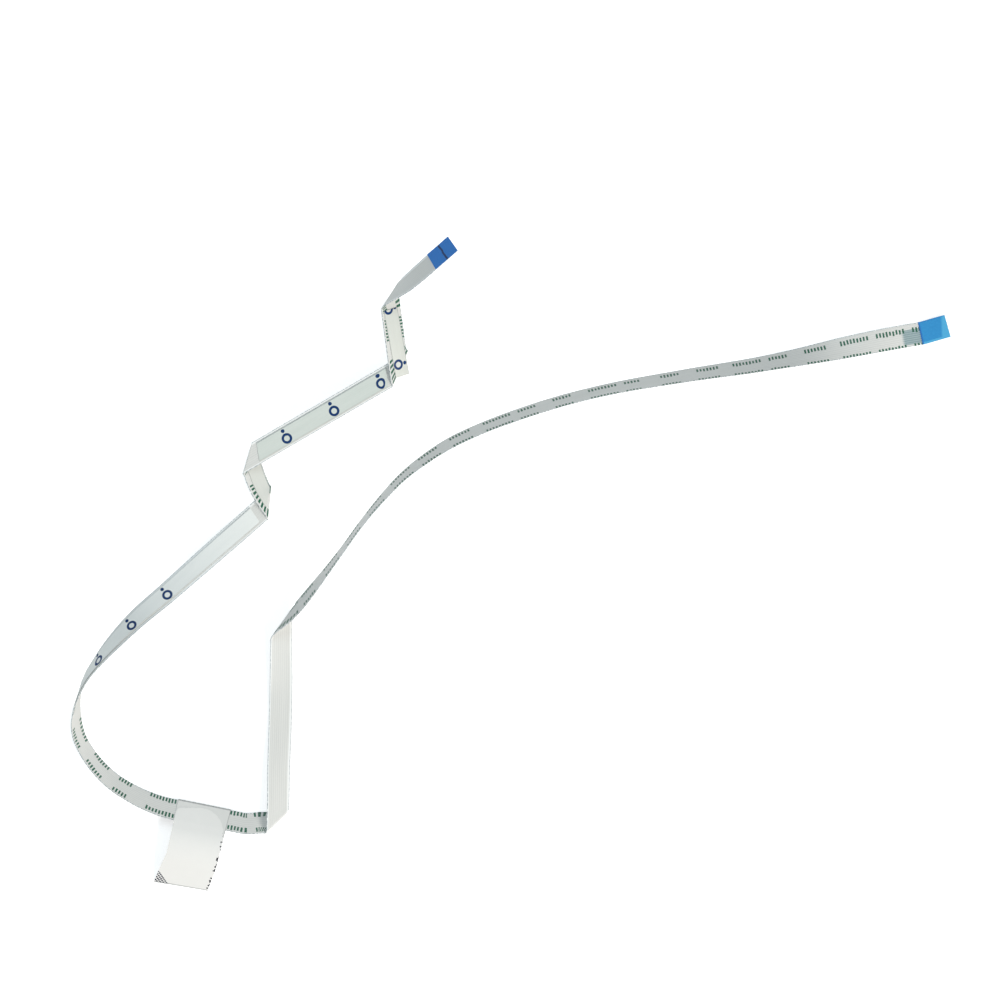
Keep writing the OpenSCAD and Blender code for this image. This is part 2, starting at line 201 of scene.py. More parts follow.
class Run:
    """One run of the cable between two folds."""

    def __init__(self, points):
        self.places = [np.array(p[:3]) for p in points]
        self.tilts = [p[3] for p in points]
        self.leans = [p[4] if len(p) > 4 else 0.0 for p in points]
        self.gaps = [np.linalg.norm(b - a) for a, b in zip(self.places, self.places[1:])]
        self.directions = [self.direction(i) for i in range(len(points))]
        self.length = sum(self.gaps)

    def direction(self, i):
        last = len(self.places) - 1
        back = self.places[i] - self.places[i - 1] if i > 0 else None
        ahead = self.places[i + 1] - self.places[i] if i < last else None
        if back is None:
            return unit(ahead)
        if ahead is None:
            return unit(back)
        return unit(unit(back) * np.linalg.norm(ahead) + unit(ahead) * np.linalg.norm(back))

    def smooth(self, values, i, t):
        """A value between points i and i + 1 that changes without a kink."""
        gap = self.gaps[i]
        start = end = values[i + 1] - values[i]
        if i > 0:
            start = (values[i + 1] - values[i - 1]) / (gap + self.gaps[i - 1]) * gap
        if i < len(self.gaps) - 1:
            end = (values[i + 2] - values[i]) / (gap + self.gaps[i + 1]) * gap
        return curve(values[i], start, values[i + 1], end, t)

    def end_frame(self, i):
        direction = self.directions[i]
        left = across(direction, self.tilts[i])
        return direction, left, np.cross(direction, left)


def fold_line(a, b):
    dir_a, left_a, up_a = a.end_frame(-1)
    dir_b, _, up_b = b.end_frame(0)
    line = unit(np.cross(dir_a - dir_b, up_a - up_b))
    return -line if line @ left_a < 0 else line


def leaned(left, direction, lean):
    lean = math.radians(lean)
    return (left * math.cos(lean) + direction * math.sin(lean)) / math.cos(lean)


def fade(skew, distance, width):
    reach = max(2 * MM, 0.8 * width * abs(math.tan(math.radians(skew))))
    return skew * max(0.0, 1 - distance / reach)


def run_rings(run, skew_in, skew_out, width, step):
    rings = []
    start = 0.0
    for i, gap in enumerate(run.gaps):
        count = max(1, math.ceil(gap / step))
        last = i == len(run.gaps) - 1
        p, q = run.places[i], run.places[i + 1]
        dp, dq = run.directions[i] * gap, run.directions[i + 1] * gap
        for j in range(count + 1 if last else count):
            t = j / count
            s = start + t * gap
            direction = unit(curve_slope(p, dp, q, dq, t))
            left = across(direction, run.smooth(run.tilts, i, t))
            lean = (run.smooth(run.leans, i, t) + fade(skew_in, s, width)
                    + fade(skew_out, run.length - s, width))
            rings.append((curve(p, dp, q, dq, t), leaned(left, direction, lean),
                          np.cross(direction, left)))
        start += gap
    return rings


def fold_rings(a, b, line, radius, count):
    dir_a, left_a, up_a = a.end_frame(-1)
    dir_b, left_b, up_b = b.end_frame(0)
    skew_a = math.asin(line @ dir_a)
    skew_b = math.asin(line @ dir_b)
    across_a = leaned(left_a, dir_a, math.degrees(skew_a))
    across_b = leaned(left_b, dir_b, math.degrees(skew_b))
    opening = math.acos(up_a @ up_b)
    reach = 4 * math.tan(opening / 4) * radius / math.cos(skew_a)
    rings = []
    for j in range(1, count):
        t = j / count
        ends = a.places[-1], dir_a * reach, b.places[0], dir_b * reach
        ring_across = across_a * (1 - t) + across_b * t
        up = unit(np.cross(curve_slope(*ends, t), ring_across))
        rings.append((curve(*ends, t), ring_across, up))
    return rings


@functools.lru_cache
def cable_rings(width, step, radius, fold_count):
    """All rings, their distances from end A, and the distance at which each run starts."""
    runs = [Run(points) for points in RUNS]
    lines = [fold_line(a, b) for a, b in zip(runs, runs[1:])]
    rings = []
    starts = []
    for k, run in enumerate(runs):
        skew_in = math.degrees(math.asin(lines[k - 1] @ run.directions[0])) if k else 0.0
        last = k == len(runs) - 1
        skew_out = 0.0 if last else math.degrees(math.asin(lines[k] @ run.directions[-1]))
        starts.append(len(rings))
        rings += run_rings(run, skew_in, skew_out, width, step)
        if not last:
            rings += fold_rings(run, runs[k + 1], lines[k], radius, fold_count)
    centres, acrosses, ups = (np.array(part) for part in zip(*rings))
    gaps = np.linalg.norm(np.diff(centres, axis=0), axis=1)
    distances = np.concatenate([[0.0], np.cumsum(gaps)])
    return centres, acrosses, ups, distances, [distances[i] for i in starts]


class Cable:
    """The cable's rings with the sizes that every layer needs."""

    def __init__(self, settings):
        self.settings = settings
        self.width = settings.width
        self.core = settings.conductor_thickness / 2
        self.half = self.core + settings.film_thickness
        (self.centres, self.acrosses, self.ups, self.distances,
         self.run_starts) = cable_rings(settings.width, settings.ring_step,
                                        settings.fold_radius, settings.fold_rings)
        self.length = self.distances[-1]

    def span(self, start, end):
        """Distances of the rings from start to end, with a ring at both."""
        inside = self.distances[(self.distances > start + 0.05 * MM)
                                & (self.distances < end - 0.05 * MM)]
        return np.concatenate([[start], inside, [end]])

    def at(self, distance, values):
        columns = [np.interp(distance, self.distances, values[:, k]) for k in range(3)]
        return np.stack(columns, axis=-1)


# ---- Mesh helpers -----------------------------------------------------------

def new_piece(name, mesh):
    piece = bpy.data.objects.new(name, mesh)
    bpy.context.scene.collection.objects.link(piece)
    return piece


def select_only(piece):
    bpy.ops.object.select_all(action="DESELECT")
    piece.select_set(True)
    bpy.context.view_layer.objects.active = piece


def smooth_by_angle(piece, angle=35):
    select_only(piece)
    bpy.ops.object.shade_smooth_by_angle(angle=math.radians(angle))


def sweep(name, cable, start, end, section):
    """A closed band along the cable. section(distance) gives its outline as (v, n) rows,
    v across the cable and n out of the plain face, in counter-clockwise order."""
    stations = cable.span(start, end)
    centres = cable.at(stations, cable.centres)
    acrosses = cable.at(stations, cable.acrosses)
    ups = cable.at(stations, cable.ups)
    outlines = np.array([section(s) for s in stations])
    rings, sides = outlines.shape[:2]
    points = (centres[:, None] + outlines[..., 0:1] * acrosses[:, None]
              + outlines[..., 1:2] * ups[:, None])
    faces = []
    for i in range(rings - 1):
        for j in range(sides):
            a = i * sides + j
            b = i * sides + (j + 1) % sides
            faces.append((a, b, b + sides, a + sides))
    faces.append(tuple(reversed(range(sides))))
    faces.append(tuple((rings - 1) * sides + j for j in range(sides)))
    mesh = bpy.data.meshes.new(name)
    mesh.from_pydata(points.reshape(-1, 3).tolist(), [], faces)
    layer = mesh.uv_layers.new(name="along")
    vertex = np.empty(len(mesh.loops), dtype=np.int32)
    mesh.loops.foreach_get("vertex_index", vertex)
    place = np.stack([np.repeat(stations, sides), outlines[..., 0].reshape(-1)], axis=1)
    layer.data.foreach_set("uv", place[vertex].astype(np.float32).reshape(-1))
    mesh.update()
    return new_piece(name, mesh)


def slab(v0, v1, n0, n1, strips=1):
    """Outline of a flat layer, its long sides cut into strips."""
    low = [(v0 + (v1 - v0) * i / strips, n0) for i in range(strips + 1)]
    high = [(v, n1) for v, _ in reversed(low)]
    return low + high


# ---- Materials --------------------------------------------------------------

class Finish:
    """A procedural material, with short calls for the nodes that it needs."""

    def __init__(self, name, roughness, coat=0.0, metallic=0.0):
        self.material = bpy.data.materials.new(name)
        self.material.use_nodes = True
        self.tree = self.material.node_tree
        self.surface = self.tree.nodes["Principled BSDF"]
        self.set(self.surface, "Roughness", roughness)
        self.set(self.surface, "Coat Weight", coat)
        self.set(self.surface, "Coat Roughness", 0.2)
        self.set(self.surface, "Metallic", metallic)

    def set(self, node, socket, value):
        """Links an output to a socket, or sets the socket to a constant."""
        target = node.inputs[socket]
        if isinstance(value, bpy.types.NodeSocket):
            self.tree.links.new(value, target)
        elif isinstance(value, (tuple, list)) and len(value) == 3 and target.type == "RGBA":
            target.default_value = (*value, 1.0)
        else:
            target.default_value = value

    def math(self, operation, *values):
        node = self.tree.nodes.new("ShaderNodeMath")
        node.operation = operation
        for i, value in enumerate(values):
            self.set(node, i, value)
        return node.outputs[0]

    def mix(self, factor, a, b):
        node = self.tree.nodes.new("ShaderNodeMix")
        node.data_type = "RGBA"
        self.set(node, 0, factor)
        self.set(node, 6, a)
        self.set(node, 7, b)
        return node.outputs[2]

    def step(self, value, low, high):
        """0 below low, 1 above high, smooth between."""
        node = self.tree.nodes.new("ShaderNodeMapRange")
        node.interpolation_type = "SMOOTHSTEP"
        self.set(node, "Value", value)
        self.set(node, "From Min", low)
        self.set(node, "From Max", high)
        return node.outputs[0]

    def band(self, value, low, high, soft):
        """1 between low and high."""
        return self.math("MULTIPLY", self.step(value, low - soft, low + soft),
                         self.math("SUBTRACT", 1.0, self.step(value, high - soft, high + soft)))

    def along(self):
        """Distance along the cable and place across it, in millimetres."""
        uv = self.tree.nodes.new("ShaderNodeUVMap")
        uv.uv_map = "along"
        split = self.tree.nodes.new("ShaderNodeSeparateXYZ")
        self.set(split, 0, uv.outputs[0])
        return (self.math("MULTIPLY", split.outputs[0], 1 / MM),
                self.math("MULTIPLY", split.outputs[1], 1 / MM))

    def place(self):
        """Object coordinates in millimetres."""
        coordinates = self.tree.nodes.new("ShaderNodeTexCoord")
        mapping = self.tree.nodes.new("ShaderNodeMapping")
        self.set(mapping, "Vector", coordinates.outputs["Object"])
        mapping.inputs["Scale"].default_value = [1 / MM] * 3
        return mapping.outputs[0]

    def vector(self, x, y, z=0.0):
        node = self.tree.nodes.new("ShaderNodeCombineXYZ")
        for i, value in enumerate((x, y, z)):
            self.set(node, i, value)
        return node.outputs[0]

    def noise(self, vector, scale, detail=3.0, rough=0.5):
        node = self.tree.nodes.new("ShaderNodeTexNoise")
        self.set(node, "Vector", vector)
        self.set(node, "Scale", scale)
        self.set(node, "Detail", detail)
        self.set(node, "Roughness", rough)
        return node.outputs[0]

    def chance(self, x, y):
        """A fixed random number for each cell."""
        node = self.tree.nodes.new("ShaderNodeTexWhiteNoise")
        node.noise_dimensions = "2D"
        self.set(node, "Vector", self.vector(x, y))
        return node.outputs["Value"]

    def bump(self, height, distance, strength=1.0):
        node = self.tree.nodes.new("ShaderNodeBump")
        self.set(node, "Height", height)
        self.set(node, "Distance", distance)
        self.set(node, "Strength", strength)
        self.set(self.surface, "Normal", node.outputs[0])

    def colour(self, value):
        self.set(self.surface, "Base Color", value)
        return self.material


CLEAR_EDGE = (0.84, 0.845, 0.83)
# Painted shade along the films' edges.
EDGE_SHADE = (0.20, 0.25, 0.27)
GREEN_INK = (0.014, 0.105, 0.060)
NAVY_INK = (0.0002, 0.030, 0.125)
TICK_INK = (0.018, 0.018, 0.028)
CHECK_INK = (0.012, 0.014, 0.04)


def rib_pattern(finish, v, pitch):
    """1 over a conductor, 0 between two."""
    wave = finish.math("COSINE", finish.math("MULTIPLY", finish.math("ADD", v, pitch / 2),
                                             2 * math.pi / pitch))
    return finish.math("MULTIPLY_ADD", wave, 0.5, 0.5)


def film_ground(finish, s, v, settings, clear_left, clear_right):
    """Film without print: ribs over the conductors, clear edges, and a dotted dark line of
    painted shade along each edge. clear_left and clear_right are where the clear
    edges start."""
    pitch = settings.pitch / MM
    half_width = settings.width / MM / 2
    ribs = finish.step(rib_pattern(finish, v, pitch), 0.25, 0.75)
    cloud = finish.noise(finish.vector(finish.math("MULTIPLY", s, 0.08), v), 1.0, 4.0)
    streak = finish.noise(finish.vector(finish.math("MULTIPLY", s, 0.02),
                                        finish.math("MULTIPLY", v, 4.0)), 1.0, 2.0)
    grain = finish.noise(finish.vector(finish.math("MULTIPLY", s, 2.5), v), 1.6, 3.0)
    shade = finish.math("ADD", finish.math("MULTIPLY", cloud, 0.45),
                        finish.math("MULTIPLY", streak, 0.35))
    shade = finish.math("MULTIPLY_ADD", grain, 0.3, shade)
    over = finish.mix(shade, (0.560, 0.562, 0.540), (0.685, 0.680, 0.652))
    between = finish.mix(shade, (0.605, 0.605, 0.580), (0.735, 0.728, 0.700))
    body = finish.mix(ribs, between, over)
    left = finish.step(v, clear_left - 0.08, clear_left + 0.08)
    right = finish.math("SUBTRACT", 1.0, finish.step(v, clear_right - 0.08,
                                                     clear_right + 0.08))
    body = finish.mix(finish.math("MAXIMUM", left, right), body, CLEAR_EDGE)
    # Painted shade: a dotted dark line along both edges of the film.
    edge_shade = finish.step(finish.math("ABSOLUTE", v), half_width - 0.22, half_width - 0.14)
    dots = finish.noise(finish.vector(finish.math("MULTIPLY", s, 2.2), 0.0), 1.0, 1.0)
    edge_shade = finish.math("MULTIPLY", edge_shade, finish.step(dots, 0.30, 0.62))
    return finish.mix(finish.math("MULTIPLY", edge_shade, 0.8), body, EDGE_SHADE)


def film_bump(finish, s, v, settings):
    pitch = settings.pitch / MM
    wave = finish.noise(finish.vector(finish.math("MULTIPLY", s, 0.3), v), 1.2, 3.0)
    ribs = rib_pattern(finish, v, pitch)
    finish.bump(finish.math("ADD", finish.math("MULTIPLY", ribs, 0.35), wave), 0.02 * MM, 0.6)


def plain_film_finish(settings):
    finish = Finish("film_plain", roughness=0.36, coat=0.15)
    s, v = finish.along()
    film_bump(finish, s, v, settings)
    return finish.colour(film_ground(finish, s, v, settings, 2.36, -2.18))


def mark_row(finish, s, v, height, seed):
    """A row of plain, evenly spaced upright strokes of different heights, in groups."""
    pitch = 0.8
    group_strokes = 11.0
    number = finish.math("FLOOR", finish.math("DIVIDE", s, pitch))
    inside = finish.math("FRACT", finish.math("DIVIDE", s, pitch))
    group = finish.math("FLOOR", finish.math("DIVIDE", number, group_strokes))
    place = finish.math("SUBTRACT", number, finish.math("MULTIPLY", group, group_strokes))
    filled = finish.math("MULTIPLY_ADD", finish.chance(group, seed), 4.6, 4.4)
    ink = finish.math("MULTIPLY", finish.math("LESS_THAN", place, filled),
                      finish.math("LESS_THAN", inside, 0.56))
    for side, shift in ((1.0, 1.0), (-1.0, 2.0)):
        reach = finish.math("MULTIPLY", finish.math(
            "MULTIPLY_ADD", finish.chance(number, seed + shift), 0.35, 0.65), height / 2)
        ink = finish.math("MULTIPLY", ink, finish.math(
            "LESS_THAN", finish.math("MULTIPLY", v, side), reach))
    return ink


def printed_film_finish(settings, cable_length):
    """The printed face has two rows of marks, which wander across the cable, and the
    bare conductors show through the film before the stiffener at end B."""
    finish = Finish("film_printed", roughness=0.36, coat=0.15)
    s, v = finish.along()
    film_bump(finish, s, v, settings)
    ground = film_ground(finish, s, v, settings, 2.6, -2.6)
    half_width = settings.width / MM / 2
    end = (cable_length - settings.stiffener_length) / MM
    near_end = finish.band(s, end - 4.3, end + 9.0, 0.45)
    middle = finish.band(v, -1.35, 2.25, 0.2)
    streaks = finish.mix(finish.step(rib_pattern(finish, v, settings.pitch / MM), 0.3, 0.7),
                         (0.27, 0.37, 0.385), (0.155, 0.25, 0.275))
    ground = finish.mix(finish.math("MULTIPLY", finish.math("MULTIPLY", near_end, middle),
                                    0.85), ground, streaks)
    drift = finish.step(s, 270.0, 400.0)
    first = finish.math("MULTIPLY_ADD", drift, -0.95, finish.math("ADD", v, 2.1))
    second = finish.math("MULTIPLY_ADD", drift, -0.95, finish.math("SUBTRACT", v, 1.75))
    ink = finish.math("MAXIMUM", mark_row(finish, s, first, 1.35, 3.0),
                      mark_row(finish, s, second, 1.35, 3.0))
    wear = finish.step(finish.noise(finish.vector(s, v), 3.0, 2.0), 0.30, 0.55)
    ink = finish.math("MULTIPLY", ink, finish.math("MULTIPLY_ADD", wear, 0.15, 0.85))
    shown = finish.math("LESS_THAN", finish.math("ABSOLUTE", v), half_width - 0.02)
    ink = finish.math("MULTIPLY", ink, shown)
    return finish.colour(finish.mix(ink, ground, GREEN_INK))


def conductor_finish():
    finish = Finish("tinned_copper", roughness=0.3, metallic=1.0)
    s, v = finish.along()
    streaks = finish.noise(finish.vector(finish.math("MULTIPLY", s, 0.5),
                                         finish.math("MULTIPLY", v, 30.0)), 1.0, 3.0)
    finish.bump(streaks, 0.004 * MM, 0.5)
    return finish.colour(finish.mix(streaks, (0.62, 0.60, 0.56), (0.84, 0.82, 0.78)))


def stiffener_a_finish():
    """Blue polyester with a dark line across its middle."""
    finish = Finish("stiffener_a", roughness=0.42)
    s, v = finish.along()
    grain = finish.noise(finish.vector(s, v), 3.0, 4.0)
    body = finish.mix(grain, (0.012, 0.140, 0.47), (0.026, 0.215, 0.64))
    sway = finish.noise(finish.vector(0.0, v), 0.6, 1.0)
    line = finish.band(finish.math("MULTIPLY_ADD", sway, 0.5, s), 3.20, 3.66, 0.08)
    body = finish.mix(finish.math("MULTIPLY", line, 0.9), body, (0.006, 0.022, 0.075))
    rim = finish.step(finish.math("ABSOLUTE", v), 2.62, 2.72)
    body = finish.mix(finish.math("MULTIPLY", rim, 0.35), body, (0.01, 0.06, 0.22))
    finish.bump(finish.math("ADD", grain, rib_pattern(finish, v, 0.5)), 0.01 * MM, 0.5)
    return finish.colour(body)


def stiffener_b_finish(cable_length):
    """Sky-blue polyester, paler where it is bent down at its end and along one side, as
    painted highlight, and darker at its root and along the other side, as painted shade.
    """
    finish = Finish("stiffener_b", roughness=0.35, coat=0.2)
    s, v = finish.along()
    from_end = finish.math("SUBTRACT", cable_length / MM, s)
    grain = finish.noise(finish.vector(s, v), 2.0, 4.0)
    body = finish.mix(grain, (0.014, 0.215, 0.50), (0.030, 0.285, 0.60))
    # Painted highlight across the bent-down end and along one side.
    slope = finish.math("SUBTRACT", from_end, finish.math("MULTIPLY_ADD", v, 0.24, 1.45))
    end_highlight = finish.math("SUBTRACT", 1.0, finish.step(slope, -0.35, 0.35))
    side = finish.step(v, 2.05, 2.35)
    painted_highlight = finish.math("MULTIPLY", finish.math("MAXIMUM", end_highlight, side), 0.75)
    body = finish.mix(painted_highlight, body, (0.085, 0.42, 0.68))
    # Painted shade: darker at the root and along the other side.
    root = finish.math("MAXIMUM", finish.step(from_end, 6.35, 6.6),
                       finish.math("MULTIPLY", finish.step(finish.math("MULTIPLY", v, -1.0),
                                                           2.35, 2.7), 0.5))
    body = finish.mix(finish.math("MULTIPLY", root, 0.75), body, (0.010, 0.105, 0.42))
    finish.bump(finish.math("ADD", grain, rib_pattern(finish, v, 0.5)), 0.01 * MM, 0.5)
    return finish.colour(body)


def tape_finish():
    finish = Finish("tape", roughness=0.55)
    fibre = finish.noise(finish.place(), 6.0, 4.0)
    return finish.colour(finish.mix(fibre, (0.56, 0.55, 0.50), (0.68, 0.67, 0.62)))


def liner_finish(name, low, high, centre, width, marks=None):
    """Glassine paper with a grey line of painted shade along its edges and bold navy rings
    and dots.
    marks is the first one's distance from end A, their pitch, and where they start and
    end."""
    finish = Finish(name, roughness=0.5)
    finish.set(finish.surface, "Specular IOR Level", 0.3)
    s, v = finish.along()
    fibre = finish.noise(finish.vector(finish.math("MULTIPLY", s, 0.4), v), 2.5, 5.0, 0.6)
    cloud = finish.noise(finish.vector(finish.math("MULTIPLY", s, 0.12), v), 0.8, 2.0)
    ribs = rib_pattern(finish, v, 0.5)
    shade = finish.math("MULTIPLY_ADD", cloud, 0.7, finish.math(
        "MULTIPLY_ADD", ribs, -0.08, finish.math("MULTIPLY", fibre, 0.4)))
    body = finish.mix(shade, low, high)
    finish.bump(finish.math("ADD", fibre, ribs), 0.012 * MM, 0.5)
    across_strip = finish.math("SUBTRACT", v, centre)
    # Painted shade: a grey line along each edge of the strip, darker on the low side.
    low_edge_shade = finish.math("SUBTRACT", 1.0, finish.step(across_strip, 0.03 - width / 2,
                                                        0.20 - width / 2))
    high_edge_shade = finish.step(across_strip, width / 2 - 0.16, width / 2 - 0.03)
    body = finish.mix(finish.math("MULTIPLY", low_edge_shade, 0.62), body, (0.17, 0.21, 0.22))
    body = finish.mix(finish.math("MULTIPLY", high_edge_shade, 0.42), body, (0.24, 0.27, 0.26))
    if marks is None:
        return finish.colour(body)
    first, pitch, start, end = marks
    turns = finish.math("DIVIDE", finish.math("SUBTRACT", s, first), pitch)
    number = finish.math("ROUND", turns)
    x = finish.math("MULTIPLY", finish.math("SUBTRACT", turns, number), pitch)
    y = finish.math("SUBTRACT", across_strip, 0.16 * width)
    reach = finish.math("SQRT", finish.math("ADD", finish.math("POWER", x, 2.0),
                                            finish.math("POWER", y, 2.0)))
    ring_inner, ring_outer, disc_radius = 0.68, 1.28, 0.46
    ring = finish.band(reach, ring_inner, ring_outer, 0.05)
    y = finish.math("ADD", across_strip, 0.33 * width)
    reach = finish.math("SQRT", finish.math("ADD", finish.math("POWER", x, 2.0),
                                            finish.math("POWER", y, 2.0)))
    disc = finish.math("SUBTRACT", 1.0, finish.step(reach, disc_radius - 0.04,
                                                       disc_radius + 0.04))
    ink = finish.math("MAXIMUM", ring, disc)
    ink = finish.math("MULTIPLY", ink, finish.band(s, start, end, 0.01))
    return finish.colour(finish.mix(ink, body, NAVY_INK))


def label_film_finish():
    """Clear film, with painted shade along its fold round the cable's edge."""
    finish = Finish("label_film", roughness=0.3, coat=0.3)
    across_label, down = finish.along()
    cloud = finish.noise(finish.place(), 0.25, 4.0)
    finish.bump(cloud, 0.05 * MM, 0.4)
    body = finish.mix(cloud, (0.66, 0.655, 0.63), (0.76, 0.75, 0.725))
    dots = finish.noise(finish.vector(finish.math("MULTIPLY", across_label, 2.0), 0.0),
                        1.0, 1.0)
    # Painted shade: a dotted dark line along the fold round the cable's edge.
    fold = finish.math("SUBTRACT", 1.0, finish.step(finish.math("ABSOLUTE", down), 0.35, 0.6))
    fold = finish.math("MULTIPLY", fold, finish.math("MULTIPLY_ADD", dots, 0.5, 0.4))
    body = finish.mix(fold, body, (0.20, 0.21, 0.21))
    side = finish.math("MAXIMUM", finish.step(across_label, 12.75, 12.88), finish.math(
        "SUBTRACT", 1.0, finish.step(across_label, 0.06, 0.2)))
    return finish.colour(finish.mix(finish.math("MULTIPLY", side, 0.6), body,
                                    (0.22, 0.23, 0.23)))


def label_panel_finish():
    """White writing panel with plain black ticks near its far edge and a checkered
    corner."""
    finish = Finish("label_panel", roughness=0.55)
    across_label, down = finish.along()
    cloud = finish.noise(finish.place(), 0.35, 5.0)
    speck = finish.noise(finish.place(), 9.0, 3.0)
    finish.bump(speck, 0.01 * MM, 0.4)
    body = finish.mix(cloud, (0.770, 0.755, 0.730), (0.80, 0.786, 0.758))
    tick_pitch = 0.37
    row = finish.math("FLOOR", finish.math("DIVIDE", down, tick_pitch))
    reach = finish.math("MULTIPLY_ADD", finish.chance(row, 5.0), 0.45, 0.12)
    tick = finish.math("MULTIPLY", finish.math("GREATER_THAN", finish.chance(row, 8.0), 0.5),
                       finish.math("LESS_THAN", across_label, reach))
    tick = finish.math("MULTIPLY", tick, finish.step(down, 4.6, 10.5))
    body = finish.mix(tick, body, TICK_INK)
    from_left = finish.math("SUBTRACT", LABEL_WIDTH, across_label)
    from_end = finish.math("SUBTRACT", finish.math("MULTIPLY_ADD", across_label, 0.03,
                                                   LABEL_LENGTH), down)
    spread = finish.math("ADD", from_left, from_end)
    square = 0.4
    squares = finish.math("ADD", finish.math("FLOOR", finish.math("DIVIDE", from_left, square)),
                          finish.math("FLOOR", finish.math("DIVIDE", from_end, square)))
    dark = finish.math("FRACT", finish.math("MULTIPLY", squares, 0.5))
    block = finish.math("MULTIPLY", finish.math("LESS_THAN", spread, 3.4),
                        finish.math("GREATER_THAN", spread, 0.5))
    block = finish.math("MULTIPLY", block, finish.math("GREATER_THAN", dark, 0.25))
    body = finish.mix(block, body, CHECK_INK)
    rim = finish.math("SUBTRACT", 1.0, finish.step(from_end, 0.14, 0.26))
    return finish.colour(finish.mix(finish.math("MULTIPLY", rim, 0.55), body,
                                    (0.25, 0.26, 0.26)))


# ---- Pieces -----------------------------------------------------------------

def finish_piece(piece, material, slot, *nodes):
    piece.data.materials.clear()
    piece.data.materials.append(material)
    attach(piece, "root")
    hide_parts(*nodes)
    return piece


def rib_profile(cable, side, steps=4):
    """Outer face of a film, from one edge to the other, raised over each conductor."""
    settings = cable.settings
    half_width = cable.width / 2
    core = 5 * settings.pitch
    count = 10 * steps
    places = [-half_width, -core - 0.1 * MM]
    places += [-core + 2 * core * i / count for i in range(count + 1)]
    places += [core + 0.1 * MM, half_width]
    outline = []
    for v in places:
        wave = 0.5 - 0.5 * math.cos(2 * math.pi * v / settings.pitch)
        rise = wave if abs(v) <= core else 0.0
        outline.append((v, side * (cable.half - settings.rib_height * (1 - rise))))
    return outline


def build_films(cable):
    settings = cable.settings
    half_width = cable.width / 2
    seal = half_width - (4.5 * settings.pitch + settings.conductor_width / 2) - 0.05 * MM
    inner = half_width - seal
    low = rib_profile(cable, -1)
    printed = low + [(half_width, -cable.core), (-half_width, -cable.core)]
    high = list(reversed(rib_profile(cable, 1)))
    plain = [(-half_width, -cable.core), (-inner, -cable.core), (-inner, cable.core),
             (inner, cable.core), (inner, -cable.core), (half_width, -cable.core)] + high
    printed_piece = sweep("printed_film_sheet", cable, settings.contact_length, cable.length,
                          lambda s: printed)
    plain_piece = sweep("plain_film_sheet", cable, 0.0,
                        cable.length - settings.contact_length, lambda s: plain)
    for piece in (printed_piece, plain_piece):
        smooth_by_angle(piece, 50)
    finish_piece(printed_piece, printed_film_finish(settings, cable.length), "film",
                 "printed_film")
    finish_piece(plain_piece, plain_film_finish(settings), "film", "plain_film")


def build_conductors(cable):
    settings = cable.settings
    material = conductor_finish()
    edge = 0.012 * MM
    for i in range(1, 11):
        centre = (i - 5.5) * settings.pitch
        v0 = centre - settings.conductor_width / 2
        v1 = centre + settings.conductor_width / 2
        t = cable.core
        section = [(v0 + edge, -t), (v1 - edge, -t), (v1, -t + edge), (v1, t - edge),
                   (v1 - edge, t), (v0 + edge, t), (v0, t - edge), (v0, -t + edge)]
        name = f"conductor_{i:02d}"
        piece = sweep(name + "_bar", cable, 0.0, cable.length, lambda s: section)
        smooth_by_angle(piece, 30)
        finish_piece(piece, material, "conductor", name)


def build_stiffeners(cable):
    settings = cable.settings
    thick = settings.stiffener_thickness
    edge = 0.03 * MM
    half_width = cable.width / 2

    def section(base):
        """Rectangle with the corners that face away from the cable taken off."""
        top = base + math.copysign(thick, base)
        inset = math.copysign(edge, base)
        outline = [(-half_width, base), (half_width, base), (half_width, top - inset),
                   (half_width - edge, top), (-half_width + edge, top),
                   (-half_width, top - inset)]
        return outline if base > 0 else list(reversed(outline))

    ends = [("stiffener_a", 0.0, settings.stiffener_length, cable.half,
             stiffener_a_finish()),
            ("stiffener_b", cable.length - settings.stiffener_length, cable.length,
             -cable.half, stiffener_b_finish(cable.length))]
    for name, start, end, base, material in ends:
        outline = section(base)
        piece = sweep(name + "_strip", cable, start, end, lambda s: outline)
        smooth_by_angle(piece, 30)
        finish_piece(piece, material, name, name)


def build_strip(cable, number, start, end, centre, width, side, tape, liner):
    """Tape and its liner, one on the other, along the cable."""
    layers = [("tape", 0.0, tape.tape_thickness, tape_finish()),
              ("liner", tape.tape_thickness, tape.tape_thickness + tape.liner_thickness,
               liner)]
    for kind, low, high, material in layers:
        n0, n1 = cable.half + low, cable.half + high
        if side < 0:
            n0, n1 = -n1, -n0
        outline = slab(centre - width / 2, centre + width / 2, n0, n1, 4)
        piece = sweep(f"{kind}_{number}_strip", cable, start, end, lambda s: outline)
        smooth_by_angle(piece, 30)
        finish_piece(piece, material, kind, f"{kind}_{number}")


def build_tapes(cable, tape):
    starts = cable.run_starts
    wide = tape.wide_width / MM
    narrow = tape.narrow_width / MM
    build_straight_strip(cable, tape, liner_finish(
        "liner_1", (0.585, 0.595, 0.55), (0.66, 0.67, 0.625), 0.0, narrow,
        (24.0, 13.8, 22.0, 41.0)))
    build_strip(cable, 2, starts[2] + 3.4 * MM, starts[2] + 39.2 * MM, 0.0,
                tape.wide_width, 1, tape, liner_finish(
                    "liner_2", (0.54, 0.585, 0.545), (0.66, 0.69, 0.65), 0.0, wide,
                    (44.8, 13.1, 41.0, 76.0)))
    build_strip(cable, 3, starts[3] + 1.6 * MM, starts[3] + 11.0 * MM, -0.5 * MM,
                tape.narrow_width, -1, tape, liner_finish(
                    "liner_3", (0.565, 0.575, 0.54), (0.64, 0.65, 0.61), -0.5, narrow))
    # Painted light: liner 4 is the same glassine as liner 2, given brighter colours.
    build_strip(cable, 4, starts[4] + 4.0 * MM, starts[4] + 68.0 * MM, -0.1 * MM,
                tape.wide_width, 1, tape, liner_finish(
                    "liner_4", (0.735, 0.755, 0.735), (0.83, 0.84, 0.815), -0.1, wide,
                    (127.5, 11.3, 121.0, 156.0)))


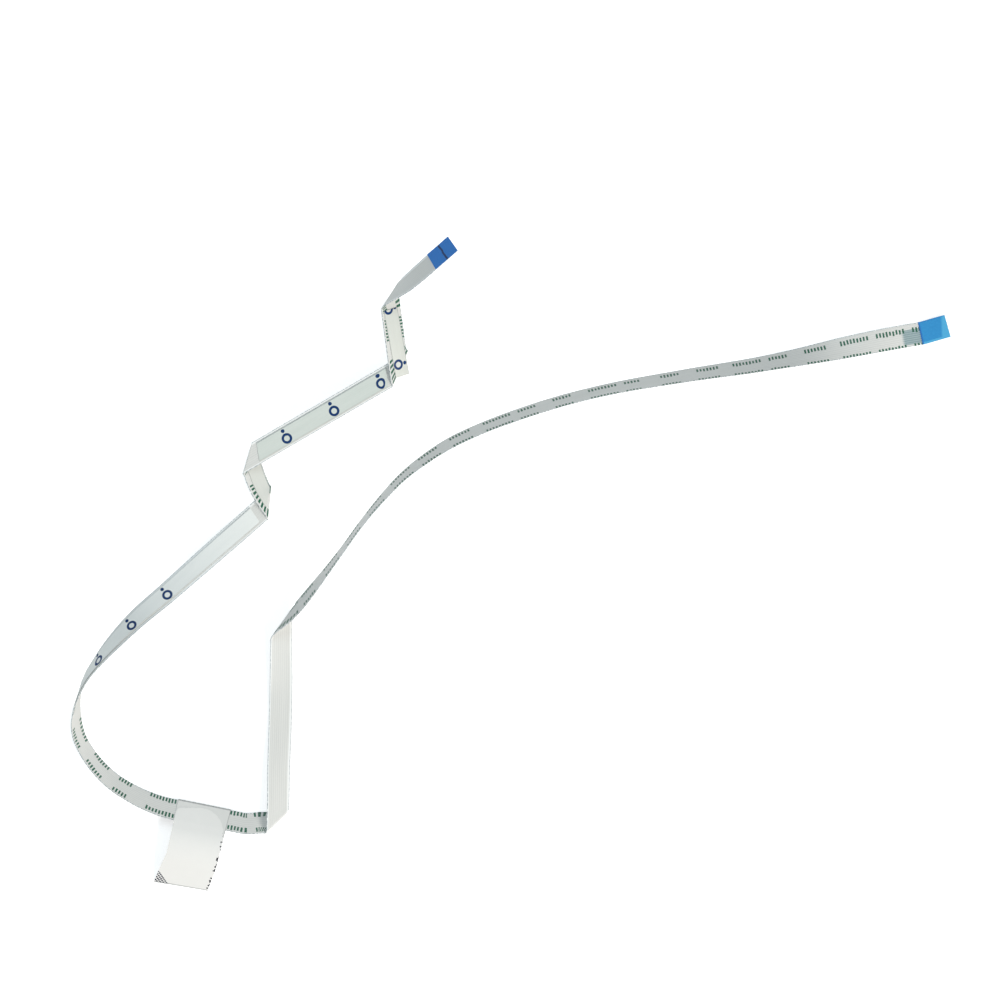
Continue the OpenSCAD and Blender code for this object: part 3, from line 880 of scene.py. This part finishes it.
def build_straight_strip(cable, tape, liner):
    """Strip 1 is flat, set at a small angle, and runs past the fold at its end."""
    run = Run(RUN_B)
    direction, left, up = run.end_frame(0)
    size = 16.7 * MM
    frame_matrix = Matrix([[direction[k], left[k], up[k], run.places[0][k]] for k in range(3)]
                          + [[0, 0, 0, 1]])
    layers = [("tape", 0.0, tape.tape_thickness, tape_finish()),
              ("liner", tape.tape_thickness, tape.tape_thickness + tape.liner_thickness,
               liner)]
    for kind, low, high, material in layers:
        bpy.ops.object.select_all(action="DESELECT")
        bpy.ops.mesh.primitive_cube_add(size=1)
        piece = bpy.context.object
        piece.name = f"{kind}_1_strip"
        piece.scale = (size, tape.narrow_width, high - low)
        bpy.ops.object.transform_apply(location=False, rotation=False, scale=True)
        bpy.ops.object.mode_set(mode="EDIT")
        bpy.ops.mesh.select_all(action="SELECT")
        bpy.ops.mesh.bevel(offset=0.015 * MM, segments=2, affect="EDGES")
        bpy.ops.object.mode_set(mode="OBJECT")
        layer = piece.data.uv_layers.active
        layer.name = "along"
        for loop in piece.data.loops:
            place = piece.data.vertices[loop.vertex_index].co
            layer.data[loop.index].uv = (cable.run_starts[1] + 2.8 * MM + place.x + size / 2,
                                         place.y)
        turn = Matrix.Rotation(math.radians(-3), 4, "Z")
        shift = Matrix.Translation((2.8 * MM, 0.25 * MM, -cable.half - (low + high) / 2))
        piece.data.transform(frame_matrix @ shift @ turn
                             @ Matrix.Translation((size / 2, 0, 0)))
        smooth_by_angle(piece, 30)
        finish_piece(piece, material, kind, f"{kind}_1")


# ---- Label ------------------------------------------------------------------
# The label is drawn in its own frame: x along the cable, y across it to the high
# edge and z out of the printed face. Its outline is drawn in the table's x and y.

LABEL_POINT = 20
FLAG_LEFT = [(-0.0794, -0.0540), (-0.0809, -0.0609), (-0.0816, -0.0640),
             (-0.0827, -0.0690), (-0.0848, -0.0736), (-0.0859, -0.0762), (-0.0880, -0.0812)]
FLAG_RIGHT = [(-0.0666, -0.0560), (-0.0689, -0.0650), (-0.0696, -0.0680),
              (-0.0710, -0.0732), (-0.0730, -0.0783), (-0.0750, -0.0834)]
FLAG_END = (-0.0859, -0.0762), (-0.0730, -0.0783)
PANEL_TOP = (-0.0793, -0.0598)
LABEL_WIDTH, LABEL_LENGTH = 12.98, 21.95
PANEL_CENTRE = (-0.0752, -0.0644)


class LabelFrame:
    """Where the label sits on the cable, and its side view."""

    def __init__(self, cable, label):
        self.label = label
        self.edge = cable.width / 2
        self.half = cable.half
        start, end = RUN_E[LABEL_POINT], RUN_E[LABEL_POINT + 1]
        self.origin = np.array(start[:3])
        self.direction = unit(np.array(end[:3]) - self.origin)
        self.left = across(self.direction, start[3])
        self.up = np.cross(self.left, self.direction)
        self.turn = math.radians(180 - start[3]) + label.drop_angle
        self.root = self.edge + label.flap_gap

    def flap(self, height):
        """One side of the sleeve at a height: flat on the cable, bent, then straight."""
        radius = self.label.bend_radius
        places = [(-self.edge + 2 * self.edge * i / 12, height) for i in range(13)]
        rise = math.copysign(abs(height) - self.half, height)
        for i in range(17):
            a = math.pi / 2 - self.turn * i / 16
            r = radius + rise
            places.append((self.root + r * math.cos(a), -radius + r * math.sin(a)))
        y, z = places[-1]
        for i in range(1, 13):
            reach = self.label.flag_reach * i / 12
            places.append((y + reach * math.cos(self.turn), z - reach * math.sin(self.turn)))
        return places

    def row(self, y, z, left, right, count):
        """World points from the left outline to the right one at one height of the side."""
        base = self.origin + y * self.left + z * self.up
        ends = [self.hit(base, outline) for outline in (left, right)]
        return [base + (ends[0] + (ends[1] - ends[0]) * i / count) * self.direction
                for i in range(count + 1)]

    def hit(self, base, outline):
        """Distance along the cable from a point to an outline on the table."""
        flat = self.direction[:2]
        best = None
        for p, q in zip(outline, outline[1:]):
            p, q = np.array(p), np.array(q)
            side = q - p
            det = flat[0] * -side[1] + side[0] * flat[1]
            gap = p - base[:2]
            t = (gap[0] * -side[1] + side[0] * gap[1]) / det
            u = (flat[0] * gap[1] - flat[1] * gap[0]) / det
            miss = max(0.0, -u, u - 1.0)
            if best is None or miss < best[0]:
                best = miss, t
        return best[1]


def draped_sheet(name, rows, start):
    """A grid laid on rows of points. Its UV is the distance from the right-hand edge and
    the distance down the sheet from row number start."""
    rows = np.array(rows)
    across_rows = np.linalg.norm(rows - rows[:, -1:], axis=2)
    gaps = np.linalg.norm(np.diff(rows[:, 0], axis=0), axis=1)
    down_rows = np.concatenate([[0.0], np.cumsum(gaps)])
    down_rows = np.repeat((down_rows - down_rows[start])[:, None], rows.shape[1], axis=1)
    bpy.ops.object.select_all(action="DESELECT")
    bpy.ops.mesh.primitive_grid_add(x_subdivisions=rows.shape[1] - 1,
                                    y_subdivisions=rows.shape[0] - 1, size=1)
    piece = bpy.context.object
    piece.name = name
    piece.data.vertices.foreach_set("co", rows.reshape(-1))
    piece.data.update()
    layer = piece.data.uv_layers.active
    layer.name = "along"
    vertex = np.empty(len(piece.data.loops), dtype=np.int32)
    piece.data.loops.foreach_get("vertex_index", vertex)
    place = np.stack([across_rows.reshape(-1), down_rows.reshape(-1)], axis=1)
    layer.data.foreach_set("uv", place[vertex].astype(np.float32).reshape(-1))
    return piece


def trim(piece, point, normal):
    """Cuts away what lies on the normal's side of a plane."""
    select_only(piece)
    bpy.ops.object.mode_set(mode="EDIT")
    bpy.ops.mesh.select_all(action="SELECT")
    bpy.ops.mesh.bisect(plane_co=point, plane_no=normal, clear_outer=True)
    bpy.ops.object.mode_set(mode="OBJECT")


def trim_outline(piece, outline):
    """Trims by upright planes through an outline that runs clockwise from above."""
    for (x0, y0), (x1, y1) in zip(outline, outline[1:]):
        normal = Vector((y0 - y1, x1 - x0, 0.0)).normalized()
        trim(piece, (x0, y0, 0.0), normal)


def thicken(piece, thickness):
    """Gives a sheet its thickness on both sides of its middle."""
    select_only(piece)
    solid = piece.modifiers.new("thickness", "SOLIDIFY")
    solid.thickness = thickness
    solid.offset = 0.0
    solid.use_even_offset = True
    bpy.ops.object.modifier_apply(modifier=solid.name)


def build_label(cable, label):
    frame_of = LabelFrame(cable, label)
    middle = cable.half + label.film_thickness / 2
    upper, lower = frame_of.flap(middle), frame_of.flap(-middle)
    wrap = [(-frame_of.edge + middle * math.cos(a), middle * math.sin(a))
            for a in (math.pi / 2 + math.pi * i / 12 for i in range(1, 12))]
    side_view = list(reversed(upper)) + wrap + lower
    film = draped_sheet("label_film_sheet", [frame_of.row(y, z, FLAG_LEFT, FLAG_RIGHT, 40)
                                             for y, z in side_view],
                        len(upper) + len(wrap) // 2)
    trim_outline(film, [FLAG_END[1], FLAG_END[0]])
    trim(film, (0, 0, 0.5 * label.film_thickness), (0, 0, -1))
    thicken(film, label.film_thickness)
    smooth_by_angle(film, 40)
    finish_piece(film, label_film_finish(), "label_film", "label_film")

    lift = middle + (label.film_thickness + label.panel_thickness) / 2
    panel = draped_sheet("label_panel_sheet", [frame_of.row(y, z, FLAG_LEFT, FLAG_RIGHT, 40)
                                               for y, z in frame_of.flap(lift)], 0)
    outline = [(x + radius * math.cos(math.radians(start + turn * i / 16)),
                y + radius * math.sin(math.radians(start + turn * i / 16)))
               for (x, y), radius, start, turn in [
                   (PANEL_CENTRE, label.corner_radius, 0, 90),
                   (PANEL_TOP, label.small_radius, 90, 68)]
               for i in range(17)]
    trim_outline(panel, list(reversed(outline)))
    trim_outline(panel, [FLAG_END[1], FLAG_END[0]])
    trim(panel, (0, 0, 0.5 * label.film_thickness), (0, 0, -1))
    thicken(panel, label.panel_thickness)
    smooth_by_angle(panel, 40)
    finish_piece(panel, label_panel_finish(), "label_panel", "label_panel")


# ---- Cord -------------------------------------------------------------------

def declare_cable(cable):
    """Points along the whole cable's centreline. No cord is declared with them."""
    count = 90
    path = [tuple(cable.at(cable.length * i / count, cable.centres))
            for i in range(count + 1)]


# ---- Stage ------------------------------------------------------------------

def area_lamp(name, place, target, size, power, tint):
    data = bpy.data.lights.new(name, "AREA")
    data.shape = "DISK"
    data.size = size
    data.energy = power
    data.color = tint
    lamp = bpy.data.objects.new(name, data)
    bpy.context.scene.collection.objects.link(lamp)
    lamp.location = place
    lamp.rotation_euler = (Vector(target) - Vector(place)).to_track_quat("-Z", "Y").to_euler()


def camera_ray(tree):
    """1 where the camera sees a surface, directly or through a clear one."""
    path = tree.nodes.new("ShaderNodeLightPath")
    seen = tree.nodes.new("ShaderNodeMath")
    seen.operation = "MAXIMUM"
    tree.links.new(path.outputs["Is Camera Ray"], seen.inputs[0])
    tree.links.new(path.outputs["Is Transmission Ray"], seen.inputs[1])
    return seen.outputs[0]


def build_floor(stage):
    bpy.ops.object.select_all(action="DESELECT")
    bpy.ops.mesh.primitive_plane_add(size=8, location=(0, 0, -0.02 * MM))
    floor = bpy.context.object
    floor.name = "floor"
    material = bpy.data.materials.new("floor")
    material.use_nodes = True
    tree = material.node_tree
    surface = tree.nodes["Principled BSDF"]
    surface.inputs["Base Color"].default_value = (0.82, 0.82, 0.82, 1)
    surface.inputs["Roughness"].default_value = 0.9
    surface.inputs["Specular IOR Level"].default_value = 0.0
    surface.inputs["Emission Color"].default_value = (1, 1, 1, 1)
    glow = tree.nodes.new("ShaderNodeMath")
    glow.operation = "MULTIPLY"
    glow.inputs[1].default_value = stage.floor_glow
    tree.links.new(camera_ray(tree), glow.inputs[0])
    tree.links.new(glow.outputs[0], surface.inputs["Emission Strength"])
    floor.data.materials.append(material)


def build_world(stage):
    scene = bpy.context.scene
    scene.world = bpy.data.worlds.new("studio")
    scene.world.use_nodes = True
    tree = scene.world.node_tree
    background = tree.nodes["Background"]
    strength = tree.nodes.new("ShaderNodeMix")
    strength.data_type = "FLOAT"
    strength.inputs[2].default_value = stage.fill_light
    strength.inputs[3].default_value = 1.0
    tree.links.new(camera_ray(tree), strength.inputs[0])
    tree.links.new(strength.outputs[0], background.inputs["Strength"])
    tint = tree.nodes.new("ShaderNodeMix")
    tint.data_type = "RGBA"
    tint.inputs[6].default_value = (0.93, 0.975, 1, 1)
    tint.inputs[7].default_value = (1, 1, 1, 1)
    tree.links.new(camera_ray(tree), tint.inputs[0])
    tree.links.new(tint.outputs[2], background.inputs["Color"])


def build_stage(stage):
    scene = bpy.context.scene
    data = bpy.data.cameras.new("camera")
    data.sensor_fit = "HORIZONTAL"
    data.angle = 2 * math.atan(stage.view_width / 2 / stage.camera_height)
    data.clip_end = 20
    camera = bpy.data.objects.new("camera", data)
    scene.collection.objects.link(camera)
    camera.location = (*stage.view_centre, stage.camera_height)
    scene.camera = camera
    scene.view_settings.view_transform = "Standard"
    build_floor(stage)
    build_world(stage)
    area_lamp("key", (0.75, -0.85, 0.95), (0, 0, 0), 0.55, stage.key_power,
              (1.0, 0.98, 0.94))
    area_lamp("side", (-0.6, 0.9, 1.3), (0, 0, 0), 1.0, stage.side_power,
              (0.80, 0.94, 1.0))


# ---- Operators --------------------------------------------------------------

def settings_of(context, kind):
    return getattr(context.scene, "flex_" + kind)


class FLEX_OT_stage(bpy.types.Operator):
    """Make the camera, the floor and the lamps"""
    bl_idname = "flex.add_stage"
    bl_label = "Stage"
    bl_options = {"REGISTER", "UNDO"}

    def execute(self, context):
        build_stage(settings_of(context, "stage"))
        return {"FINISHED"}


class FLEX_OT_films(bpy.types.Operator):
    """Make the two insulation films"""
    bl_idname = "flex.add_films"
    bl_label = "Films"
    bl_options = {"REGISTER", "UNDO"}

    def execute(self, context):
        build_films(Cable(settings_of(context, "cable")))
        return {"FINISHED"}


class FLEX_OT_conductors(bpy.types.Operator):
    """Make the ten flat conductors"""
    bl_idname = "flex.add_conductors"
    bl_label = "Conductors"
    bl_options = {"REGISTER", "UNDO"}

    def execute(self, context):
        build_conductors(Cable(settings_of(context, "cable")))
        return {"FINISHED"}


class FLEX_OT_stiffeners(bpy.types.Operator):
    """Make the stiffener at each end"""
    bl_idname = "flex.add_stiffeners"
    bl_label = "Stiffeners"
    bl_options = {"REGISTER", "UNDO"}

    def execute(self, context):
        build_stiffeners(Cable(settings_of(context, "cable")))
        return {"FINISHED"}


class FLEX_OT_tapes(bpy.types.Operator):
    """Make the four strips of mounting tape and their liners"""
    bl_idname = "flex.add_tapes"
    bl_label = "Mounting tape"
    bl_options = {"REGISTER", "UNDO"}

    def execute(self, context):
        build_tapes(Cable(settings_of(context, "cable")), settings_of(context, "tape"))
        return {"FINISHED"}


class FLEX_OT_label(bpy.types.Operator):
    """Make the clear wrap-around label and its white panel"""
    bl_idname = "flex.add_label"
    bl_label = "Label"
    bl_options = {"REGISTER", "UNDO"}

    def execute(self, context):
        build_label(Cable(settings_of(context, "cable")), settings_of(context, "label"))
        return {"FINISHED"}


class FLEX_OT_cord(bpy.types.Operator):
    bl_idname = "flex.declare_cord"
    bl_label = "Declare cord"
    bl_options = {"REGISTER", "UNDO"}

    def execute(self, context):
        declare_cable(Cable(settings_of(context, "cable")))
        return {"FINISHED"}


OPERATORS = [FLEX_OT_stage, FLEX_OT_films, FLEX_OT_conductors, FLEX_OT_stiffeners,
             FLEX_OT_tapes, FLEX_OT_label, FLEX_OT_cord]
SETTINGS = {"cable": CableSettings, "tape": TapeSettings, "label": LabelSettings,
            "stage": StageSettings}


class FLEX_PT_panel(bpy.types.Panel):
    bl_label = "Flex Cable"
    bl_idname = "FLEX_PT_panel"
    bl_space_type = "VIEW_3D"
    bl_region_type = "UI"
    bl_category = "Flex Cable"

    def draw(self, context):
        for kind, group in SETTINGS.items():
            box = self.layout.box()
            box.label(text=kind.capitalize())
            settings = settings_of(context, kind)
            for name in group.__annotations__:
                box.prop(settings, name)
        for operator in OPERATORS:
            self.layout.operator(operator.bl_idname)


def register():
    for cls in [*SETTINGS.values(), *OPERATORS, FLEX_PT_panel]:
        bpy.utils.register_class(cls)
    for kind, group in SETTINGS.items():
        setattr(bpy.types.Scene, "flex_" + kind, PointerProperty(type=group))


def unregister():
    for kind in SETTINGS:
        delattr(bpy.types.Scene, "flex_" + kind)
    for cls in reversed([*SETTINGS.values(), *OPERATORS, FLEX_PT_panel]):
        bpy.utils.unregister_class(cls)


def main():
    register()
    bpy.ops.flex.add_stage()
    bpy.ops.flex.add_films()
    bpy.ops.flex.add_conductors()
    bpy.ops.flex.add_stiffeners()
    bpy.ops.flex.add_tapes()
    bpy.ops.flex.add_label()
    bpy.ops.flex.declare_cord()


if __name__ == "__main__":
    main()
